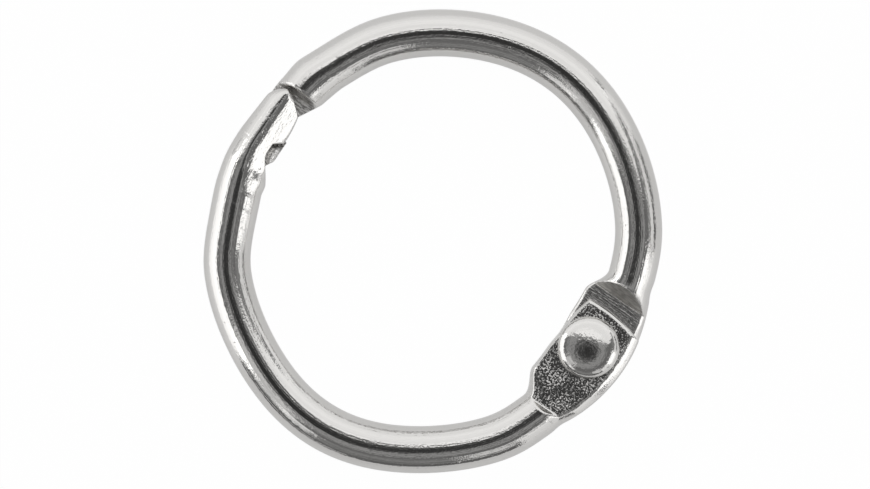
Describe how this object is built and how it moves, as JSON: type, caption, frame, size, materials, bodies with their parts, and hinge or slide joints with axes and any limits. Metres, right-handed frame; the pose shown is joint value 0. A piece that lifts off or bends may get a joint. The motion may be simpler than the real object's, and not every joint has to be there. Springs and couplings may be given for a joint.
{
  "type": "binder ring",
  "caption": "Hinged loose-leaf binder ring of plated steel wire: bent halves riveted together at a pressed hinge, with a lapped snap clasp opposite, to hold punched pages.",
  "frame": {"origin": "middle of the ring, on the parting plane where the halves lap each other", "axes": "+Z along the ring's axis, on the side of the rivet's head; +Y towards the clasp, so the hinge is at -Y; +X towards the tongue half"},
  "size_m": [0.0316, 0.0301, 0.0041],
  "materials": {
    "plated_wire": "bright nickel plate over drawn steel wire, rougher on the pressed faces",
    "plated_rivet": "bright nickel plate over a domed steel rivet"
  },
  "bodies": {
    "notch_side": {"notch_half": "plated_wire", "hinge_rivet": "plated_rivet"},
    "tongue_side": {"tongue_half": "plated_wire"}
  },
  "joints": [
    {"name": "ring_hinge", "type": "hinge", "parent": "notch_side", "child": "tongue_side", "pos_m": [0, -0.0125, 0], "axis": [0, 0, -1], "range_deg": [0, 112]}
  ]
}
